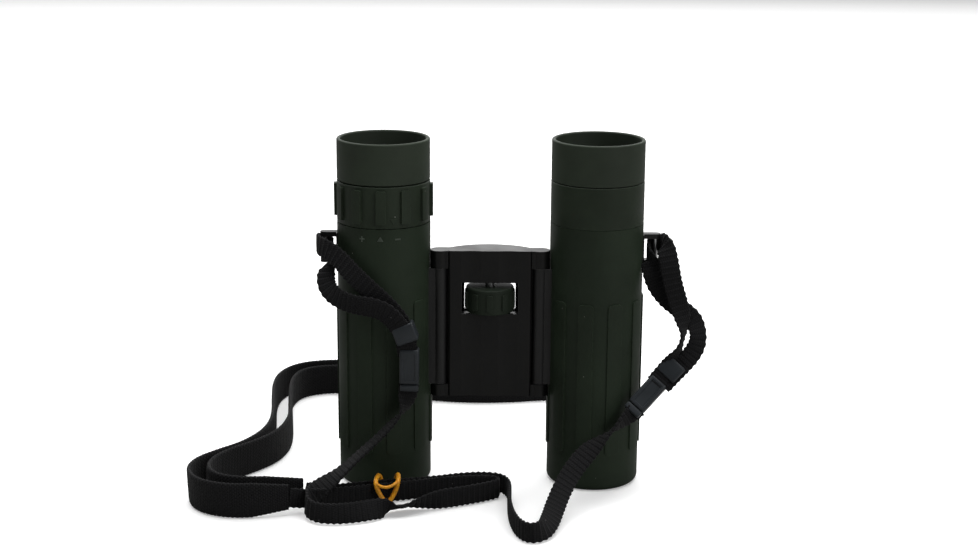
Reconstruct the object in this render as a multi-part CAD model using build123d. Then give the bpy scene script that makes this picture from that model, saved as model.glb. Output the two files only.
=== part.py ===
from build123d import *
import math
import os

# Compact folding binoculars with roof prisms, standing on their objective ends. Millimetres.
# The origin is on the surface they stand on, midway between the two barrels. +Z points up, to the
# eyepieces. +X points to the right barrel and -Y to the belly side, where the barrels fold to.
# Each barrel is built on the right and mirrored for the left.

# Layout
barrel_spacing = 70.8  # between the two optical axes when fully opened
hinge_spacing = 33.6  # between the two hinge axes
hinge_y = -2.0
rim_height = 117.4  # top of the eyecups
collar_bottom = 89.6  # top of the armour, where the collar or diopter ring starts
collar_top = 103.6

# Barrel skin and tube
armour_radius = 15.5
armour_wall = 1.6
glue_line = 0.05
armour_foot_round = 2.0
armour_lip = 1.2  # the turned-in foot that the tube stands on
tube_wall = 1.6
seat_bore_wall = 1.1  # tube wall round the objective cell
seat_depth = 10.0
grip_bars = 10
grip_bar_height = 0.5
grip_bar_width = 5.0
grip_bar_bottom = 12.9
grip_bar_top = 64.7
grip_bar_corner = 1.2
grip_bar_offset = 21.5  # degrees from the belly side to the first bar

# Hinge arms, ears and axles
column_radius = 2.6
ear_radius = 3.1  # the bridge's ears stand a little proud of the arms between them
column_clearance = 0.15
arm_width = 4.4
axle_radius = 1.2
running_gap = 0.08
axle_neck_radius = 0.8
drive_groove_radius = 0.7
arm_screw_heights = (39.0, 70.0)
arm_screw_radius = 0.8
arm_screw_head_radius = 1.5
arm_screw_head = 0.9

# Bridge
bridge_bottom = 30.0
bridge_top = 80.2
bridge_half_width = 13.9
bridge_rear = 6.0  # height of the convex rear above the barrel axes' plane
bridge_wall = 1.4
rear_lip = 1.4  # how far the lip behind each arm reaches out from the bridge's side
rear_lip_thickness = 2.2
plate_thickness = 1.4
lower_ear_height = 4.0
upper_ear_height = 6.0
ear_wall = 1.2
lower_ear_floor = 0.6
plate_groove_radius = 16.0
plate_groove_depth = 0.35
plate_groove_offset = 6.2

# Focus drive
wheel_radius = 8.6
wheel_height = 8.4
wheel_z = 63.3
wheel_y = -0.8
wheel_ribs = 10
wheel_rib_width = 1.9
wheel_rib_height = 0.6
wheel_rib_margin = 1.5
window_half_width = 9.4
rear_window_half_width = 8.6
window_bottom = 58.6
window_top = 69.3
screw_radius = 1.5
journal_radius = 1.1
bush_radius = 2.2
bush_height = 2.6
nut_half_width = 3.2
nut_rear = 1.8
nut_height = 5.0
carriage_thickness = 1.2
focus_travel = 1.1  # each way

# Objective end
objective_cell_bottom = 4.0
objective_pocket_radius = 12.0
objective_bore_radius = 11.0
objective_ring_height = 1.2
objective_edge = 3.3
objective_ring_bore = 11.2
lens_bulge = 0.8

# Focusing cell
drive_z = 56.0
focus_cell_height = 7.0
focus_cell_bore = 7.8
focus_lens_radius = 8.5
focus_lens_edge = 2.4
drive_pin_radius = 0.9
drive_pin_tip = 0.75  # from the hinge axis

# Prisms
prism_ledge_bottom = 60.8
prism_ledge_height = 1.0
prism_ledge_bore = 11.2
prism_width = 14.6
prism_floor = 1.6
prism_window = 6.8
prism_air_gap = 0.2

# Ocular
housing_bottom = 84.0
housing_radius = 13.0
housing_top = 109.6
housing_bore = 11.0
housing_lip_bore = 10.2
housing_lip = 1.8
foot_lip_bore = 9.5
foot_lip = 1.5
ocular_cell_bottom = 92.0
ocular_cell_top = 106.0
ocular_cell_bore = 8.6
eye_lens_radius = 9.6
eye_lens_edge = 2.2
field_lens_radius = 9.2
field_lens_edge = 1.8
field_stop_bore = 7.5
field_stop_height = 1.2
diopter_travel = 0.8  # each way
diopter_pin_radius = 0.7
diopter_pin_z = 99.0

# Eyecup, collar and diopter ring
eyecup_radius = 15.4
eyecup_wall = 1.3
eyecup_flange = 2.4
eyecup_rim_round = 0.6
seam_gap = 0.25
seam_chamfer = 0.2
collar_radius = 15.45
knob_count = 12
knob_radius = 16.4
knob_width = 3.2
knob_bottom_margin = 1.7
knob_top_margin = 1.3
ring_gap = 0.15

# Strap lugs
lug_z = 80.5
lug_height = 10.4
lug_half_width = 3.5
lug_base_proud = 0.3
lug_ear = 1.6
lug_ear_radius = 1.6
lug_pin_radius = 0.9
lug_window = 2.9

# Strap. A tape is 6.5 wide and 1 thick, the webbing 12 wide and 1.4 thick: each solid is a round
# stand-in of about the same section.
tape_tube_radius = 1.4
webbing_tube_radius = 2.3
keeper_size = (7.6, 5.6, 6.4)
lock_size = (6.6, 5.0, 14.4)
buckle_edge = 0.7
tie_radius = 0.6
tie_half_width = 5.3
tie_half_height = 4.2
tie_centre = (-33.6, -25.7, 4.3)
tie_turn = 12

barrel_x = barrel_spacing / 2
hinge_x = hinge_spacing / 2
tube_radius = armour_radius - armour_wall - glue_line
tube_bore = tube_radius - tube_wall
seat_bore = tube_radius - seat_bore_wall
bridge_front = hinge_y - column_radius
ear_front = hinge_y - ear_radius
plate_back = bridge_front + plate_thickness
ear_rear = hinge_y + column_radius
column_bottom = bridge_bottom + lower_ear_height + column_clearance
upper_ear_bottom = bridge_top - upper_ear_height
column_top = upper_ear_bottom - column_clearance
pocket_bottom = upper_ear_bottom + ear_wall
pocket_top = bridge_top - ear_wall
carriage_z = (pocket_bottom + pocket_top) / 2
lug_pin_x = barrel_x + armour_radius + lug_base_proud + lug_window + lug_pin_radius


def rod(radius, bottom, top, x=0.0, y=0.0):
    """An upright cylinder between two heights."""
    up = (Align.CENTER, Align.CENTER, Align.MIN)
    return Pos(x, y, bottom) * Cylinder(radius, top - bottom, align=up)


def ring(outer, inner, bottom, top, x=0.0, y=0.0):
    """An upright tube between two heights."""
    return rod(outer, bottom, top, x, y) - rod(inner, bottom, top, x, y)


def block(x0, x1, y0, y1, z0, z1):
    """A box between two corners."""
    corner = (Align.MIN, Align.MIN, Align.MIN)
    return Pos(x0, y0, z0) * Box(x1 - x0, y1 - y0, z1 - z0, align=corner)


def on_barrel(solid):
    """Puts what was made round the Z axis on the right barrel's axis."""
    return Pos(barrel_x, 0, 0) * solid


def lens(radius, bottom, edge, below, above):
    """A round lens with spherical faces that stand out below and above its cylindrical edge."""
    glass = rod(radius, bottom, bottom + edge)
    for height, rise, face in ((bottom, below, -1), (bottom + edge, above, 1)):
        if rise == 0:
            continue
        size = abs(rise)
        sphere_radius = (radius**2 + size**2) / (2 * size)
        outward = face if rise > 0 else -face
        ball = Pos(0, 0, height - outward * (sphere_radius - size)) * Sphere(sphere_radius)
        if rise > 0:
            cap = rod(radius, height - (size if face < 0 else 0), height + (size if face > 0 else 0))
            glass += cap & ball
        else:
            glass -= ball
    return glass


def drive_slot():
    """The way of the drive pin through tube, arm and column, as long as the focus travel."""
    half_height = drive_pin_radius + focus_travel + 0.15
    half_width = drive_pin_radius + 0.15
    return block(
        hinge_x,
        barrel_x - focus_cell_bore,
        hinge_y - half_width,
        hinge_y + half_width,
        drive_z - half_height,
        drive_z + half_height,
    )


def across(radius, x0, x1, z):
    """A cylinder along X through the hinge plane, between two places."""
    return Pos((x0 + x1) / 2, hinge_y, z) * Rot(0, 90, 0) * Cylinder(radius, x1 - x0)


def grip_bars_of_armour():
    """Long raised bars with round corners, evenly spaced round the barrel."""
    length = grip_bar_top - grip_bar_bottom
    shape = Plane.XZ * RectangleRounded(grip_bar_width, length, grip_bar_corner)
    bar = extrude(shape, armour_radius + grip_bar_height)
    bar = Pos(0, 0, grip_bar_bottom + length / 2) * bar
    bars = Part()
    for count in range(grip_bars):
        bars += Rot(0, 0, grip_bar_offset + 360 / grip_bars * count) * bar
    return bars & rod(armour_radius + grip_bar_height, 0, collar_bottom)


def lug_seat():
    """The window in the armour that the lug's base fills."""
    half = lug_height / 2
    seat = block(barrel_x, lug_pin_x, -lug_half_width, lug_half_width, lug_z - half, lug_z + half)
    return seat - rod(tube_radius, 0, rim_height, barrel_x)


def arm_block():
    """The straight part of the hinge arm, from the hinge axis to the tube."""
    half = arm_width / 2
    arm = block(hinge_x, barrel_x, hinge_y - half, hinge_y + half, column_bottom, column_top)
    return arm - rod(tube_radius, 0, rim_height, barrel_x)


def armour():
    skin = rod(armour_radius, 0, collar_bottom)
    foot_edge = skin.edges().filter_by(GeomType.CIRCLE).sort_by(Axis.Z)[0]
    skin = fillet(foot_edge, armour_foot_round)
    skin += grip_bars_of_armour()
    skin -= rod(tube_radius + glue_line, armour_lip, collar_bottom)
    skin -= rod(seat_bore, 0, armour_lip)
    skin = on_barrel(skin)
    skin -= rod(ear_radius + 0.35, bridge_bottom - 0.5, bridge_top + 0.5, hinge_x, hinge_y)
    return skin - arm_block() - lug_seat()


def barrel_tube():
    tube = rod(tube_radius, armour_lip, collar_bottom)
    tube -= rod(seat_bore, armour_lip, seat_depth)
    tube -= rod(tube_bore, seat_depth, prism_ledge_bottom)
    tube -= rod(prism_ledge_bore, prism_ledge_bottom, prism_ledge_bottom + prism_ledge_height)
    tube -= rod(tube_bore, prism_ledge_bottom + prism_ledge_height, collar_bottom)
    tube = on_barrel(tube) - drive_slot()
    return tube - arm_screw_solids()


def arm_screw_solids():
    """Countersunk screws, from inside the tube into the hinge arm."""
    screws = Part()
    head_face = barrel_x - tube_bore - 0.05
    for height in arm_screw_heights:
        screws += across(arm_screw_head_radius, head_face - arm_screw_head, head_face, height)
        tip = hinge_x + axle_radius + running_gap + 0.7
        screws += across(arm_screw_radius, tip, head_face - arm_screw_head / 2, height)
    return screws


def hinge_arm():
    arm = rod(column_radius, column_bottom, column_top, hinge_x, hinge_y) + arm_block()
    arm -= rod(axle_radius + running_gap, column_bottom, column_top, hinge_x, hinge_y)
    return arm - drive_slot() - arm_screw_solids()


def objective_cell():
    cell = rod(seat_bore - glue_line, objective_cell_bottom, seat_depth)
    cell -= rod(objective_bore_radius, objective_cell_bottom, seat_depth)
    pocket_top_z = objective_cell_bottom + objective_ring_height + objective_edge
    return on_barrel(cell - rod(objective_pocket_radius, objective_cell_bottom, pocket_top_z))


def objective_lens():
    bottom = objective_cell_bottom + objective_ring_height
    radius = objective_pocket_radius - glue_line
    glass = rod(radius, bottom, bottom + objective_edge)
    front = lens(objective_bore_radius, bottom, objective_edge, lens_bulge, lens_bulge)
    return on_barrel(glass + front)


def objective_ring():
    top = objective_cell_bottom + objective_ring_height
    return on_barrel(
        ring(objective_pocket_radius - glue_line, objective_ring_bore, objective_cell_bottom, top)
    )


def focus_cell():
    bottom = drive_z - focus_cell_height / 2 - 0.5
    top = bottom + focus_cell_height
    cell = ring(tube_bore - running_gap, focus_cell_bore, bottom, top)
    cell -= rod(focus_lens_radius, top - focus_lens_edge, top)
    pin = across(drive_pin_radius, hinge_x + drive_pin_tip, barrel_x - focus_cell_bore - 1.0, drive_z)
    return on_barrel(cell) + pin


def focus_lens():
    top = drive_z + focus_cell_height / 2 - 0.5
    radius = focus_lens_radius - glue_line
    return on_barrel(lens(radius, top - focus_lens_edge, focus_lens_edge, 0, -lens_bulge))


def prism_holder():
    bottom = prism_ledge_bottom + prism_ledge_height
    holder = rod(tube_bore - glue_line, bottom, housing_bottom)
    half = prism_width / 2
    holder -= block(-half, half, -half, half, bottom + prism_floor, housing_bottom)
    return on_barrel(holder - rod(prism_window, bottom, bottom + prism_floor))


def prisms():
    """A roof prism over a half-penta prism, parted by a thin slanting air gap."""
    bottom = prism_ledge_bottom + prism_ledge_height + prism_floor
    half = prism_width / 2 - glue_line
    glass = block(-half, half, -half, half, bottom, housing_bottom - 2.0)
    middle = (bottom + housing_bottom - 2.0) / 2
    gap = Pos(0, 0, middle) * Rot(0, 22.5, 0) * Box(4 * half, 4 * half, prism_air_gap)
    corner = Pos(half, 0, housing_bottom - 2.0) * Rot(0, 45, 0) * Box(7.0, 4 * half, 7.0)
    return on_barrel(glass - gap - corner)


def ocular_housing(shoulder):
    shell = rod(tube_bore - glue_line, housing_bottom, collar_bottom)
    shell += rod(housing_radius, collar_bottom, housing_top)
    shell -= rod(foot_lip_bore, housing_bottom, housing_bottom + foot_lip)
    shell -= rod(housing_lip_bore, housing_bottom + foot_lip, housing_top)
    return on_barrel(shell - rod(housing_bore, shoulder, housing_top - housing_lip))


def field_stop():
    bottom = housing_bottom + foot_lip
    stop = ring(housing_lip_bore - glue_line, field_stop_bore, bottom, bottom + field_stop_height)
    return on_barrel(stop)


def ocular_cell():
    cell = ring(housing_bore - running_gap, ocular_cell_bore, ocular_cell_bottom, ocular_cell_top)
    eye_seat = ocular_cell_top - eye_lens_edge - lens_bulge
    cell -= rod(eye_lens_radius, eye_seat, ocular_cell_top)
    return on_barrel(cell - rod(field_lens_radius, ocular_cell_bottom, ocular_cell_bottom + field_lens_edge))


def ocular_lenses():
    """The eye lens at the top of the cell and the field lens at its bottom."""
    eye_seat = ocular_cell_top - eye_lens_edge - lens_bulge
    eye = lens(eye_lens_radius - glue_line, eye_seat, eye_lens_edge, 0, lens_bulge)
    field = lens(field_lens_radius - glue_line, ocular_cell_bottom, field_lens_edge, 0, 0)
    return on_barrel(eye + field)


def collar():
    band = ring(collar_radius, housing_radius + glue_line, collar_bottom, collar_top)
    outer_edges = band.edges().filter_by(GeomType.CIRCLE).sort_by(SortBy.RADIUS)[-2:]
    return on_barrel(chamfer(outer_edges, seam_chamfer))


def diopter_ring():
    """A turning ring with raised knobs, and inside it the groove that drives the diopter pin."""
    bottom = collar_bottom + ring_gap
    top = collar_top - ring_gap
    band = ring(collar_radius, housing_radius + running_gap, bottom, top)
    outer_edges = band.edges().filter_by(GeomType.CIRCLE).sort_by(SortBy.RADIUS)[-2:]
    band = chamfer(outer_edges, seam_chamfer)
    low = collar_bottom + knob_bottom_margin
    high = collar_top - knob_top_margin
    shape = Plane.XZ * RectangleRounded(knob_width, high - low, 0.6)
    knob = Pos(0, 0, (low + high) / 2) * extrude(shape, knob_radius)
    knob -= rod(collar_radius - 0.3, low, high)
    for count in range(knob_count):
        band += Rot(0, 0, 360 / knob_count * count) * knob & rod(knob_radius, low, high)
    half_groove = diopter_pin_radius + diopter_travel + 0.2
    groove_radius = housing_radius + 1.3
    band -= rod(groove_radius, diopter_pin_z - half_groove, diopter_pin_z + half_groove)
    return on_barrel(band)


def diopter_slot():
    half_height = diopter_pin_radius + diopter_travel + 0.15
    half_width = diopter_pin_radius + 0.1
    slot = block(
        -half_width,
        half_width,
        -housing_radius - 1,
        -ocular_cell_bore,
        diopter_pin_z - half_height,
        diopter_pin_z + half_height,
    )
    return on_barrel(slot)


def diopter_pin():
    length = housing_radius + 1.0 - ocular_cell_bore - 0.6
    pin = Rot(90, 0, 0) * Cylinder(diopter_pin_radius, length)
    return on_barrel(Pos(0, -(ocular_cell_bore + 0.6 + length / 2), diopter_pin_z) * pin)


def eyecup():
    bottom = collar_top + seam_gap
    cup = rod(eyecup_radius, bottom, rim_height)
    rim = cup.edges().filter_by(GeomType.CIRCLE).sort_by(Axis.Z)
    cup = chamfer(rim[0], seam_chamfer)
    inner = eyecup_radius - eyecup_wall
    cup -= rod(inner, bottom + eyecup_flange, rim_height)
    cup -= rod(housing_radius + running_gap, bottom, bottom + eyecup_flange)
    edges = cup.edges().filter_by(GeomType.CIRCLE).sort_by(Axis.Z)[-2:]
    return on_barrel(fillet(edges, eyecup_rim_round))


def strap_lug():
    """A base in the armour and two ears that hold the pin the strap goes round."""
    half = lug_height / 2
    base = lug_seat() & rod(armour_radius + lug_base_proud, 0, rim_height, barrel_x)
    window = block(
        barrel_x + armour_radius + lug_base_proud,
        lug_pin_x + 3,
        -lug_half_width,
        lug_half_width,
        lug_z - half + lug_ear,
        lug_z + half - lug_ear,
    )
    ears = rod(lug_ear_radius, lug_z - half, lug_z + half, lug_pin_x)
    ears += block(
        barrel_x + armour_radius - 0.5,
        lug_pin_x,
        -lug_ear_radius,
        lug_ear_radius,
        lug_z - half,
        lug_z + half,
    )
    return base + (ears - window) - lug_pin()


def lug_pin():
    half = lug_height / 2 - 0.4
    return rod(lug_pin_radius, lug_z - half, lug_z + half, lug_pin_x)


def bridge_outline(inset):
    """The plan of the bridge between its plate and its convex rear, drawn in by a wall."""
    side = bridge_half_width - inset
    front = plate_back
    rear_side = ear_rear - inset
    outline = Polyline((-side, rear_side), (-side, front), (side, front), (side, rear_side))
    arch = ThreePointArc((side, rear_side), (0, bridge_rear - inset), (-side, rear_side))
    return make_face(outline + arch)


def bridge_body():
    height = bridge_top - bridge_bottom
    body = Pos(0, 0, bridge_bottom) * extrude(bridge_outline(0), height)
    for side in (-1, 1):
        for low, high in (
            (bridge_bottom, bridge_bottom + lower_ear_height),
            (upper_ear_bottom, bridge_top),
        ):
            body += rod(ear_radius, low, high, side * hinge_x, hinge_y)
            inner, outer = sorted((side * (bridge_half_width - 1), side * hinge_x))
            body += block(inner, outer, bridge_front, hinge_y + ear_radius, low, high)
        inner, outer = sorted((side * (bridge_half_width - 1), side * (bridge_half_width + rear_lip)))
        lip_rear = ear_rear + 0.6
        lip = block(
            inner, outer, lip_rear - rear_lip_thickness, lip_rear, bridge_bottom + 1, upper_ear_bottom + 1
        )
        body += lip - rod(column_radius + column_clearance, 0, rim_height, side * hinge_x, hinge_y)
    body -= block(-bridge_half_width, bridge_half_width, ear_front, plate_back, 0, rim_height)
    cavity_low = bridge_bottom + lower_ear_height
    cavity = Pos(0, 0, cavity_low) * extrude(bridge_outline(bridge_wall), upper_ear_bottom - cavity_low)
    shelf_top = window_bottom - 0.6
    shelf_low = shelf_top - bush_height
    shelf = block(-bridge_half_width, bridge_half_width, plate_back, bridge_rear, shelf_low, shelf_top)
    shelf -= rod(bush_radius, shelf_low, shelf_top, 0, wheel_y)
    body -= cavity - shelf
    rear_half = rear_window_half_width
    body -= block(-rear_half, rear_half, plate_back, bridge_rear + 1, window_bottom, window_top)
    nut_room = nut_half_width + 0.4
    body -= block(-nut_room, nut_room, plate_back, nut_rear + 0.4, shelf_top, pocket_top)
    ear_reach = hinge_x + axle_radius + 0.4
    body -= block(-ear_reach, ear_reach, ear_front, -0.15, pocket_bottom, pocket_top)
    body -= rod(journal_radius + running_gap, pocket_top, pocket_top + 0.7, 0, wheel_y)
    for side in (-1, 1):
        x = side * hinge_x
        body -= rod(axle_radius + running_gap, upper_ear_bottom, pocket_top + 0.7, x, hinge_y)
        low = bridge_bottom + lower_ear_floor
        body -= rod(axle_radius + running_gap, low, bridge_bottom + lower_ear_height, x, hinge_y)
        body -= ear_cap(side)
    return body


def ear_cap(side):
    """The small cover in front of an upper ear, over the carriage's end."""
    cap = rod(ear_radius, pocket_bottom, pocket_top, side * hinge_x, hinge_y)
    inner, outer = sorted((side * bridge_half_width, side * hinge_x))
    cap += block(inner, outer, bridge_front, ear_rear, pocket_bottom, pocket_top)
    reach = hinge_x + ear_radius
    return cap & block(-reach, reach, ear_front, plate_back, pocket_bottom, pocket_top)


def ear_caps():
    return ear_cap(-1) + ear_cap(1)


def bridge_plate():
    """The belly plate, with two shallow upright grooves and the wheel's window."""
    plate = block(
        -bridge_half_width,
        bridge_half_width,
        bridge_front,
        plate_back,
        bridge_bottom,
        bridge_top,
    )
    uprights = plate.edges().filter_by(Axis.Z).group_by(Axis.Y)[0]
    plate = fillet(uprights, 0.9)
    for side in (-1, 1):
        x = side * plate_groove_offset
        y = bridge_front - plate_groove_radius + plate_groove_depth
        plate -= rod(plate_groove_radius, bridge_bottom, bridge_top, x, y)
    half = window_half_width
    return plate - block(-half, half, bridge_front - 1, plate_back + 1, window_bottom, window_top)


def focus_wheel():
    low = wheel_z - wheel_height / 2
    high = wheel_z + wheel_height / 2
    wheel = rod(wheel_radius - wheel_rib_height, low, high)
    rims = wheel.edges().filter_by(GeomType.CIRCLE)
    wheel = fillet(rims, 0.4)
    rib_low = low + wheel_rib_margin
    rib_high = high - wheel_rib_margin
    shape = Plane.XZ * RectangleRounded(wheel_rib_width, rib_high - rib_low, 0.5)
    rib = Pos(0, 0, wheel_z) * extrude(shape, wheel_radius) & rod(wheel_radius, low, high)
    rib -= rod(wheel_radius - 2 * wheel_rib_height, low, high)
    for count in range(wheel_ribs):
        wheel += Rot(0, 0, 360 / wheel_ribs * count) * rib
    return Pos(0, wheel_y, 0) * (wheel - rod(screw_radius, low, high))


def focus_screw():
    shelf_top = window_bottom - 0.6
    shaft = rod(screw_radius, shelf_top + 0.1, pocket_top - 0.1, 0, wheel_y)
    shaft += rod(journal_radius, shelf_top - bush_height, shelf_top + 0.1, 0, wheel_y)
    return shaft + rod(journal_radius, pocket_top - 0.1, pocket_top + 0.6, 0, wheel_y)


def screw_bush():
    shelf_top = window_bottom - 0.6
    return ring(
        bush_radius, journal_radius + running_gap, shelf_top - bush_height, shelf_top, 0, wheel_y
    )


def focus_carriage():
    """The nut on the focus screw, with an arm out to each hinge axle."""
    low = carriage_z - carriage_thickness / 2
    high = carriage_z + carriage_thickness / 2
    reach = hinge_x + axle_radius
    front = plate_back + 0.15
    nut = block(-nut_half_width, nut_half_width, front, nut_rear, carriage_z - nut_height, low)
    arms = block(-reach, reach, front, -0.3, low, high)
    carriage = nut + arms
    carriage -= rod(screw_radius + running_gap, low - nut_height, high, 0, wheel_y)
    for side in (-1, 1):
        x = side * hinge_x
        carriage -= rod(axle_neck_radius, low, high, x, hinge_y)
        neck = axle_neck_radius
        carriage -= block(x - neck, x + neck, bridge_front, hinge_y, low, high)
    return carriage


def hinge_axle(side):
    """The sliding axle: a neck for the carriage and a groove for the drive pin."""
    x = side * hinge_x
    low = bridge_bottom + lower_ear_floor + focus_travel + 0.2
    high = pocket_top + 0.6 - focus_travel
    axle = rod(axle_radius, low, high, x, hinge_y)
    neck_low = carriage_z - carriage_thickness / 2
    neck_high = carriage_z + carriage_thickness / 2
    axle -= ring(axle_radius + 1, axle_neck_radius, neck_low, neck_high, x, hinge_y)
    half_groove = drive_pin_radius + 0.05
    return axle - ring(
        axle_radius + 1,
        drive_groove_radius,
        drive_z - half_groove,
        drive_z + half_groove,
        x,
        hinge_y,
    )


def cord_radii(points):
    """The arc at each inner point, as large as its two runs allow."""
    radii = []
    for before, here, after in zip(points, points[1:], points[2:]):
        turn = (here - before).get_angle(after - here)
        shorter = min((here - before).length, (after - here).length)
        radii.append(0.45 * shorter / math.tan(math.radians(turn / 2)))
    return radii


def cord(name, route, radius):
    """A round tube along straight runs joined by tangent arcs."""
    points = [Vector(*point) for point in route]
    radii = cord_radii(points)
    path = FilletPolyline(*points, radius=radii)
    profile = Plane(points[0], z_dir=points[1] - points[0]) * Circle(radius)
    tube = sweep(profile, path=path.wire())
    expected = math.pi * radius**2 * path.length
    share = tube.volume / expected
    print(f"{name}: length {path.length:.1f}, tightest {min(radii):.1f}, volume share {share:.4f}")
    return tube


# The strap's routes, in order along each cord.
lug_turn = lug_window / 2 + lug_pin_radius  # from the pin's axis to the tape's middle
loop_left_route = [
    (-25.0, -19.2, 48.9),
    (-25.5, -19.6, 53.8),
    (-27.6, -19.9, 58.6),
    (-30.9, -19.8, 62.9),
    (-35.2, -19.6, 67.0),
    (-40.0, -18.8, 71.1),
    (-44.9, -16.4, 75.2),
    (-49.2, -12.8, 78.8),
    (-53.6, -9.6, 81.2),
    (-lug_pin_x - lug_turn, -5.8, 81.8),
    (-lug_pin_x - lug_turn, 2.45, 81.6),
    (-lug_pin_x + lug_turn, 2.45, 80.4),
    (-lug_pin_x + lug_turn, -5.2, 79.0),
    (-54.4, -9.0, 73.8),
    (-54.2, -11.4, 69.6),
    (-51.4, -14.2, 66.6),
    (-46.8, -17.2, 65.4),
    (-42.0, -19.8, 65.4),
    (-37.8, -21.0, 64.6),
    (-34.4, -21.2, 62.2),
    (-31.4, -20.6, 59.0),
    (-29.5, -20.0, 55.2),
    (-28.3, -19.4, 51.8),
    (-28.1, -19.1, 48.7),
]
loop_right_route = [
    (54.6, -13.3, 36.8),
    (56.9, -12.6, 40.0),
    (59.2, -12.2, 43.6),
    (61.6, -11.8, 48.4),
    (63.4, -11.5, 53.6),
    (63.2, -11.2, 59.4),
    (61.6, -10.8, 65.4),
    (60.2, -10.2, 71.4),
    (59.4, -9.2, 77.4),
    (lug_pin_x + lug_turn, -6.2, 81.8),
    (lug_pin_x + lug_turn, 2.45, 81.6),
    (lug_pin_x - lug_turn, 2.45, 80.4),
    (lug_pin_x - lug_turn, -5.2, 78.2),
    (54.4, -6.2, 72.4),
    (57.4, -6.6, 67.0),
    (61.8, -7.0, 62.6),
    (66.2, -7.6, 59.2),
    (68.8, -8.6, 54.6),
    (68.6, -9.8, 49.6),
    (65.8, -11.0, 44.8),
    (61.9, -12.0, 40.2),
    (57.6, -13.2, 35.2),
]
tape_left_route = [
    (-26.6, -19.0, 38.4),
    (-26.9, -19.4, 33.4),
    (-28.4, -20.4, 29.6),
    (-31.2, -21.8, 26.6),
    (-36.6, -24.2, 21.4),
    (-42.6, -26.6, 16.4),
    (-48.4, -29.2, 11.4),
    (-54.0, -32.2, 7.2),
    (-58.4, -36.4, 4.6),
    (-59.2, -42.0, 3.8),
    (-55.4, -46.6, 3.6),
    (-48.4, -48.0, 3.6),
    (-40.2, -46.8, 3.6),
    (-31.4, -43.4, 3.7),
    (-22.8, -39.0, 3.6),
    (-14.6, -34.6, 3.5),
    (-7.2, -30.6, 3.5),
    (-0.6, -26.6, 3.5),
    (2.2, -22.6, 3.5),
    (-0.6, -20.0, 3.5),
    (-6.4, -20.4, 3.6),
    (-14.2, -23.2, 3.5),
    (-22.8, -25.8, 3.6),
    (-31.6, -27.6, 3.5),
    (-40.4, -29.8, 3.6),
    (-49.0, -32.6, 3.8),
    (-57.2, -35.6, 4.4),
    (-64.1, -37.65, 5.6),
]
tape_right_route = [
    (49.4, -15.5, 29.8),
    (44.6, -17.6, 25.6),
    (38.2, -20.4, 21.4),
    (32.6, -24.0, 17.4),
    (27.6, -29.4, 13.2),
    (23.8, -36.2, 9.0),
    (21.2, -43.8, 5.6),
    (19.4, -51.8, 4.0),
    (17.2, -58.6, 3.7),
    (12.8, -60.8, 3.6),
    (9.4, -56.0, 3.5),
    (7.6, -48.4, 3.6),
    (6.8, -39.8, 3.5),
    (6.8, -31.0, 3.6),
    (7.0, -23.0, 3.5),
    (4.8, -17.2, 3.6),
    (-1.4, -15.2, 3.5),
    (-9.2, -16.6, 3.6),
    (-17.4, -19.4, 3.5),
    (-26.4, -22.0, 3.6),
    (-35.6, -23.6, 3.5),
    (-44.4, -26.2, 3.6),
    (-52.8, -29.4, 3.8),
    (-59.9, -31.65, 5.6),
]
webbing_route = [
    (-64.6, -37.8, 6.1),
    (-72.0, -40.0, 6.2),
    (-80.0, -41.6, 6.1),
    (-88.6, -40.2, 6.2),
    (-95.6, -34.6, 6.1),
    (-99.0, -26.0, 6.2),
    (-97.4, -17.0, 6.1),
    (-91.6, -9.6, 6.2),
    (-84.8, -1.8, 6.1),
    (-79.6, 8.6, 6.2),
    (-77.4, 21.0, 6.1),
    (-78.0, 34.6, 6.2),
    (-80.0, 48.4, 6.1),
    (-81.6, 62.0, 6.2),
    (-80.8, 75.2, 6.1),
    (-75.4, 85.4, 6.2),
    (-65.6, 90.0, 6.1),
    (-53.8, 89.8, 6.2),
    (-41.4, 87.4, 6.1),
    (-29.0, 83.4, 6.2),
    (-16.2, 79.6, 6.1),
    (-3.4, 78.4, 6.2),
    (9.4, 80.8, 6.1),
    (21.8, 85.2, 6.2),
    (32.2, 86.0, 6.1),
    (36.6, 80.2, 6.2),
    (31.0, 76.2, 6.1),
    (20.8, 76.0, 6.2),
    (9.2, 73.6, 6.1),
    (-3.6, 72.0, 6.2),
    (-17.0, 73.4, 6.1),
    (-30.2, 77.0, 6.2),
    (-42.8, 80.8, 6.1),
    (-54.4, 83.2, 6.2),
    (-65.0, 82.8, 6.1),
    (-72.6, 77.8, 6.2),
    (-75.4, 69.0, 6.1),
    (-75.2, 57.4, 6.2),
    (-73.4, 44.8, 6.1),
    (-71.4, 32.0, 6.2),
    (-71.6, 19.8, 6.1),
    (-74.6, 8.4, 6.2),
    (-80.8, -0.4, 6.1),
    (-87.6, -8.2, 6.2),
    (-92.4, -16.4, 6.1),
    (-92.8, -25.4, 6.2),
    (-88.4, -32.2, 6.1),
    (-80.8, -35.0, 6.2),
    (-72.6, -34.6, 6.1),
    (-65.8, -33.0, 6.2),
    (-60.4, -31.8, 6.1),
]


def buckle(size, start, end, facing):
    """A block with rounded edges, its length from start to end."""
    start, end = Vector(*start), Vector(*end)
    along = (end - start).normalized()
    middle = (start + end) * 0.5
    body = fillet(Box(*size).edges(), buckle_edge)
    return Plane(origin=middle, x_dir=Vector(*facing), z_dir=along) * body


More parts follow.
